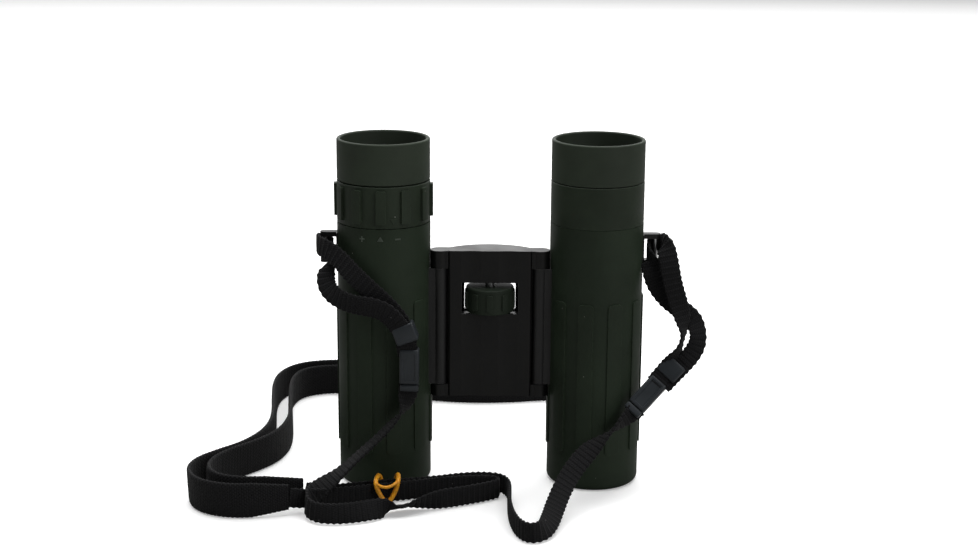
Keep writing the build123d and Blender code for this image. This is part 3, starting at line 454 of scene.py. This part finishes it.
def evenly(line, partner, step):
    """The same line and its partner at even steps along the line, and how far along each step is."""
    reach = [0.0]
    for before, after in zip(line, line[1:]):
        reach.append(reach[-1] + (after - before).length)
    count = round(reach[-1] / step)
    places, partners, distances = [], [], []
    index = 0
    for number in range(count + 1):
        wanted = reach[-1] * number / count
        while index < len(line) - 2 and reach[index + 1] < wanted:
            index += 1
        share = (wanted - reach[index]) / max(reach[index + 1] - reach[index], 1e-9)
        places.append(line[index].lerp(line[index + 1], share))
        partners.append(partner[index].lerp(partner[index + 1], share))
        distances.append(wanted)
    return places, partners, distances


def ribbon(name, route, widths, size, step, rib, relief, finish, corners=14, taper=0.0):
    """A flat woven tape along a route. Each width says which way the tape's flat side runs there."""
    width, thickness = size
    centre = smooth_line(route)
    edge = smooth_line([Vector(p) + Vector(w).normalized() * 0.004 for p, w in zip(route, widths)])
    places, edges, distances = evenly(centre, edge, step)
    bm = bmesh.new()
    lay = bm.verts.layers.float_vector.new("lay")
    bmesh.ops.create_circle(bm, segments=corners, radius=1.0)
    bm.verts.ensure_lookup_table()
    section = []
    for vertex in bm.verts:
        x, y = vertex.co.x, vertex.co.y
        section.append((math.copysign(abs(x) ** 0.35, x), math.copysign(abs(y) ** 0.55, y)))
    loop = list(bm.verts)
    rim = list(bm.edges)
    for number, (place, side, reach) in enumerate(zip(places, edges, distances)):
        before, after = places[max(0, number - 1)], places[min(len(places) - 1, number + 1)]
        along = (after - before).normalized()
        across = side - place
        across = (across - along * across.dot(along)).normalized()
        up = along.cross(across)
        ridge = math.cos(2 * math.pi * reach / rib)
        near_end = min(reach, distances[-1] - reach)
        narrowing = 1.0 - taper * max(0.0, 1.0 - near_end / 0.012)
        half_width = width / 2 * narrowing * (1 + relief * 0.16 * ridge)
        half_thickness = thickness / 2 * (1 + relief * ridge)
        if number:
            grown = bmesh.ops.extrude_edge_only(bm, edges=rim)
            fresh = [v for v in grown["geom"] if isinstance(v, bmesh.types.BMVert)]
            rim = [e for e in grown["geom"] if isinstance(e, bmesh.types.BMEdge) and all(v in fresh for v in e.verts)]
            order = {}
            for old, (x, y) in zip(loop, section):
                twin = next(e.other_vert(old) for e in old.link_edges if e.other_vert(old) in fresh)
                order[old] = twin
            loop = [order[old] for old in loop]
        for vertex, (x, y) in zip(loop, section):
            vertex.co = place + across * (x * half_width) + up * (y * half_thickness)
            vertex[lay] = (x * width * 500, reach * 1000, y * thickness * 500)
        if number == 0:
            first_rim = list(rim)
    for ring in (first_rim, rim):
        bmesh.ops.contextual_create(bm, geom=ring)
    bmesh.ops.recalc_face_normals(bm, faces=bm.faces)
    piece = finished(name, bm, finish, None, angle=60.0)
    return piece, places


def length_of(places):
    return sum((b - a).length for a, b in zip(places, places[1:]))


def lay_strap():
    plan = {
        "lug_loop_left": (LOOP_LEFT, LOOP_LEFT_WIDTHS, "left_barrel"),
        "lug_loop_right": (LOOP_RIGHT, LOOP_RIGHT_WIDTHS, "right_barrel"),
        "strap_tape_left": (TAPE_LEFT, TAPE_LEFT_WIDTHS, "left_barrel"),
        "strap_tape_right": (TAPE_RIGHT, TAPE_RIGHT_WIDTHS, "right_barrel"),
    }
    for name, (route, widths, body) in plan.items():
        size = (0.0064, 0.0010) if "loop" in name else (0.0066, 0.0011)
        piece, places = ribbon(f"{name}_cloth", route, widths, size, 0.00048, 0.00192, 0.30, tape_cloth)
        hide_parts(name)
        if "loop" in name:
            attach(piece, body)
        else:
            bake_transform(piece)
    piece, places = ribbon(
        "neck_webbing_cloth", WEBBING, [(0.04 * math.sin(n * 0.9), 0.04 * math.cos(n * 0.7), 1) for n in range(len(WEBBING))],
        (0.0118, 0.0014), 0.0006, 0.0015, 0.10, webbing_cloth, corners=16, taper=0.28,
    )
    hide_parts("neck_webbing")
    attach(piece, "bridge")


def standing(start, end, facing):
    """The place of a buckle whose length runs from start to end and whose width faces one way."""
    start, end = Vector(start), Vector(end)
    along = (end - start).normalized()
    across = Vector(facing)
    across = (across - along * across.dot(along)).normalized()
    depth = along.cross(across)
    turn = Matrix((across, depth, along)).transposed().to_4x4()
    return Matrix.Translation((start + end) / 2) @ turn


def rounded_block(size, edge, segments=3):
    bm = bmesh.new()
    bmesh.ops.create_cube(bm, size=1.0)
    bmesh.ops.scale(bm, vec=size, verts=bm.verts)
    bmesh.ops.bevel(
        bm, geom=list(bm.edges), offset=edge, affect="EDGES", segments=segments, profile=0.5, material=-1
    )
    return bm


def pressed(bm, faces, inset, depth, material=0):
    """Insets faces and moves them along their normals: a recess or a raised field."""
    for face in faces:
        normal = face.normal.copy()
        bmesh.ops.inset_region(bm, faces=[face], thickness=inset, depth=0.0, use_even_offset=True)
        rim = bmesh.ops.inset_region(bm, faces=[face], thickness=abs(depth) * 0.35, depth=0.0)
        bmesh.ops.translate(bm, vec=normal * depth, verts=face.verts)
        face.material_index = material
        del rim


def widest(bm, axis, sign):
    faces = [f for f in bm.faces if f.normal[axis] * sign > 0.99]
    return max(faces, key=lambda f: f.calc_area())


def make_keeper(name, start, end, facing, body, node):
    bm = rounded_block((0.0074, 0.0056, 0.0062), 0.0007)
    for face in (widest(bm, 2, 1), widest(bm, 2, -1)):
        normal = face.normal.copy()
        bmesh.ops.inset_region(bm, faces=[face], thickness=0.0006, depth=0.0, use_even_offset=True)
        bmesh.ops.translate(bm, vec=-normal * 0.0009, verts=face.verts)
        # The recessed end takes the darker buckle material: painted shade in the opening.
        face.material_index = 1
    bmesh.ops.transform(bm, matrix=standing(start, end, facing), verts=bm.verts)
    return finished(name, bm, buckle_grey, body, (node,), 40.0, (buckle_recess_shade,))


def make_lock(name, start, end, facing, body, node, flutes):
    """A long cord lock: a rounded case, a pressed field with flutes on its face, and a foot behind a seam."""
    bm = rounded_block((0.0064, 0.0050, 0.0118), 0.0007)
    bmesh.ops.translate(bm, vec=(0, 0, -0.0013), verts=bm.verts)
    for sign in (1, -1):
        pressed(bm, [widest(bm, 1, sign)], 0.0005, -0.00028, 0)
    top = widest(bm, 2, -1)
    normal = top.normal.copy()
    bmesh.ops.inset_region(bm, faces=[top], thickness=0.0006, depth=0.0, use_even_offset=True)
    bmesh.ops.translate(bm, vec=-normal * 0.0012, verts=top.verts)
    # The recessed end takes the darker buckle material: painted shade in the opening.
    top.material_index = 1
    foot = rounded_block((0.0060, 0.0046, 0.0022), 0.0005)
    bmesh.ops.translate(foot, vec=(0, 0, 0.0059), verts=foot.verts)
    merge(bm, foot)
    for number in range(flutes):
        flute = rounded_block((0.0006, 0.0004, 0.0078), 0.00018, 2)
        bmesh.ops.translate(flute, vec=((number - (flutes - 1) / 2) * 0.0013, -0.0023, -0.0013), verts=flute.verts)
        merge(bm, flute)
    bmesh.ops.transform(bm, matrix=standing(start, end, facing), verts=bm.verts)
    return finished(name, bm, buckle_grey, body, (node,), 40.0, (buckle_recess_shade,))


def merge(bm, other):
    mesh = bpy.data.meshes.new("part")
    other.to_mesh(mesh)
    other.free()
    bm.from_mesh(mesh)
    bpy.data.meshes.remove(mesh)


def band_tube(bm, points, radius, closed=True, sides=10):
    """A round rubber strand along a smooth line."""
    line = smooth_line(points, 10, closed)
    if closed and (line[0] - line[-1]).length > 1e-6:
        line.append(line[0])
    curve_rings = []
    up = Vector((0, 0, 1))
    count = len(line) - 1 if closed else len(line)
    for number in range(count):
        before = line[number - 1] if number or closed else line[0]
        if closed and number == 0:
            before = line[-2]
        after = line[min(number + 1, len(line) - 1)]
        along = (after - before).normalized()
        first = along.cross(up)
        first = first.normalized() if first.length > 0.2 else along.cross(Vector((0, 1, 0))).normalized()
        turn = Matrix((first, along.cross(first), along)).transposed().to_4x4()
        grown = bmesh.ops.create_circle(
            bm, segments=sides, radius=radius, matrix=Matrix.Translation(line[number]) @ turn
        )
        verts = grown["verts"]
        edges = list({edge for vertex in verts for edge in vertex.link_edges})
        if curve_rings:
            bmesh.ops.bridge_loops(bm, edges=curve_rings[-1] + edges)
        curve_rings.append(edges)
    if closed:
        bmesh.ops.bridge_loops(bm, edges=curve_rings[-1] + curve_rings[0])
    else:
        bmesh.ops.contextual_create(bm, geom=curve_rings[0])
        bmesh.ops.contextual_create(bm, geom=curve_rings[-1])


def make_tie():
    """The rubber band, doubled: its two turns meet under the tapes and spread at the top."""
    bm = bmesh.new()
    turns = (
        [(-0.0370, -0.0300, 0.0084), (-0.0362, -0.0303, 0.0056), (-0.0342, -0.0306, 0.0022), (-0.0334, -0.0300, 0.0008),
         (-0.0336, -0.0262, 0.0009), (-0.0342, -0.0224, 0.0012), (-0.0352, -0.0219, 0.0045), (-0.0362, -0.0222, 0.0082),
         (-0.0368, -0.0262, 0.0086)],
        [(-0.0296, -0.0286, 0.0086), (-0.0302, -0.0291, 0.0056), (-0.0321, -0.0301, 0.0022), (-0.0330, -0.0299, 0.0009),
         (-0.0329, -0.0260, 0.0008), (-0.0322, -0.0218, 0.0012), (-0.0312, -0.0213, 0.0045), (-0.0302, -0.0214, 0.0082),
         (-0.0297, -0.0250, 0.0088)],
    )
    for points in turns:
        band_tube(bm, points, 0.00078)
    link = [(-0.0366, -0.0302, 0.0078), (-0.0350, -0.0307, 0.0070), (-0.0332, -0.0306, 0.0068), (-0.0314, -0.0300, 0.0072),
            (-0.0300, -0.0291, 0.0080)]
    band_tube(bm, link, 0.00055, closed=False)
    bmesh.ops.recalc_face_normals(bm, faces=bm.faces)
    finished("amber_tie", bm, amber_band, "bridge", ("strap_tie",), 60.0)


def on_skin(bm, angle, height, radius, side):
    """Bends a flat mark, drawn across X and Z, round a barrel. The angle is from the belly to the outside."""
    for vertex in bm.verts:
        turn = math.radians(angle) + vertex.co.x / radius
        reach = radius - vertex.co.y
        vertex.co = Vector((side * (BARREL_X + reach * math.sin(turn)), -reach * math.cos(turn), height + vertex.co.z))
    if side < 0:
        bmesh.ops.reverse_faces(bm, faces=bm.faces)


def bar(width, height, depth=0.00016):
    bm = bmesh.new()
    bmesh.ops.create_cube(bm, size=1.0)
    bmesh.ops.scale(bm, vec=(width, depth, height), verts=bm.verts)
    uprights = [e for e in bm.edges if abs((e.verts[0].co - e.verts[1].co).normalized().y) < 0.5]
    bmesh.ops.bevel(bm, geom=uprights, offset=depth * 0.3, affect="EDGES", segments=2, profile=0.5, material=-1)
    return bm


def wedge(size, down, depth=0.00022):
    """A small raised triangle."""
    bm = bmesh.new()
    bmesh.ops.create_cone(bm, cap_ends=True, segments=3, radius1=size, radius2=size * 0.82, depth=depth)
    bmesh.ops.rotate(bm, cent=(0, 0, 0), matrix=Matrix.Rotation(math.radians(90), 3, "X"), verts=bm.verts)
    if down:
        bmesh.ops.rotate(bm, cent=(0, 0, 0), matrix=Matrix.Rotation(math.radians(180), 3, "Y"), verts=bm.verts)
    return bm


def make_marks():
    """A plus, a pointer and a minus under the diopter ring, and the ring's own pointer."""
    plus = bar(0.0019, 0.0005)
    merge(plus, bar(0.0005, 0.0019))
    on_skin(plus, 24.0, 0.0863, ARMOUR_RADIUS + 0.00004, -1)
    finished("diopter_plus", plus, pad_mark, "left_barrel")
    minus = bar(0.0019, 0.0005)
    on_skin(minus, -20.5, 0.0863, ARMOUR_RADIUS + 0.00004, -1)
    finished("diopter_minus", minus, pad_mark, "left_barrel")
    pointer = wedge(0.00125, False)
    on_skin(pointer, 1.0, 0.0863, ARMOUR_RADIUS + 0.00004, -1)
    finished("diopter_pointer", pointer, pad_mark, "left_barrel")
    index = wedge(0.0014, True, 0.0005)
    on_skin(index, -15.0, 0.0925, 0.01545, -1)
    finished("diopter_index", index, green_collar, "diopter")


# ---------------------------------------------------------------- floor and light

def make_floor():
    bm = bmesh.new()
    bmesh.ops.create_grid(bm, x_segments=1, y_segments=1, size=3.0)
    mesh = bpy.data.meshes.new("floor")
    bm.to_mesh(mesh)
    bm.free()
    floor = bpy.data.objects.new("floor", mesh)
    scene.collection.objects.link(floor)
    finish = Finish("white table", Roughness=0.6, Specular_IOR_Level=0.1)
    seen = finish.add("ShaderNodeLightPath").outputs["Is Camera Ray"]
    finish.feed(Base_Color=finish.blend_colours(seen, (0.34, 0.34, 0.33, 1), (0.88, 0.88, 0.88, 1)))
    glow = finish.blend_colours(seen, (0, 0, 0, 1), (0.26, 0.26, 0.26, 1))
    finish.feed(Emission_Color=glow)
    finish.shader.inputs["Emission Strength"].default_value = 1.0
    mesh.materials.append(finish.material)


def soft_light(name, place, aim, size, power, colour=(1, 1, 1)):
    light = bpy.data.lights.new(name, "AREA")
    light.shape = "RECTANGLE"
    light.size, light.size_y = size
    light.energy = power
    light.color = colour
    holder = bpy.data.objects.new(name, light)
    scene.collection.objects.link(holder)
    holder.matrix_world = (
        Matrix.Translation(place) @ (Vector(aim) - Vector(place)).to_track_quat("-Z", "Y").to_matrix().to_4x4()
    )


def light_scene():
    world = bpy.data.worlds.new("studio")
    world.use_nodes = True
    world.node_tree.nodes["Background"].inputs["Color"].default_value = (1, 1, 1, 1)
    world.node_tree.nodes["Background"].inputs["Strength"].default_value = 0.10
    scene.world = world
    soft_light("overhead", (0.0, 0.25, 1.1), (0.0, 0.05, 0.0), (1.6, 1.3), 26.0)
    soft_light("right side", (0.75, -0.75, 0.55), (0.03, 0.0, 0.06), (0.6, 0.5), 3.6)
    soft_light("behind", (0.0, 1.6, 0.75), (0.0, 0.0, 0.08), (2.4, 0.9), 14.0)
    scene.view_settings.view_transform = "Standard"


place_camera()
lay_strap()
make_keeper("strap_keeper_left_block", (-0.0286, -0.0199, 0.0594), (-0.0264, -0.0201, 0.0534), (1, 0, 0.2), "left_barrel", "strap_keeper_left")
make_lock("cord_lock_left_block", (-0.0262, -0.0190, 0.0509), (-0.0263, -0.0190, 0.0364), (1, 0, 0.2), "left_barrel", "cord_lock_left", 2)
make_keeper("strap_keeper_right_block", (0.0627, -0.0110, 0.0442), (0.0584, -0.0120, 0.0396), (0.75, -0.35, -0.56), "right_barrel", "strap_keeper_right")
make_lock("cord_lock_right_block", (0.0566, -0.0122, 0.0380), (0.0470, -0.0161, 0.0283), (0.75, -0.35, -0.56), "right_barrel", "cord_lock_right", 0)
make_tie()
make_marks()
make_floor()
light_scene()
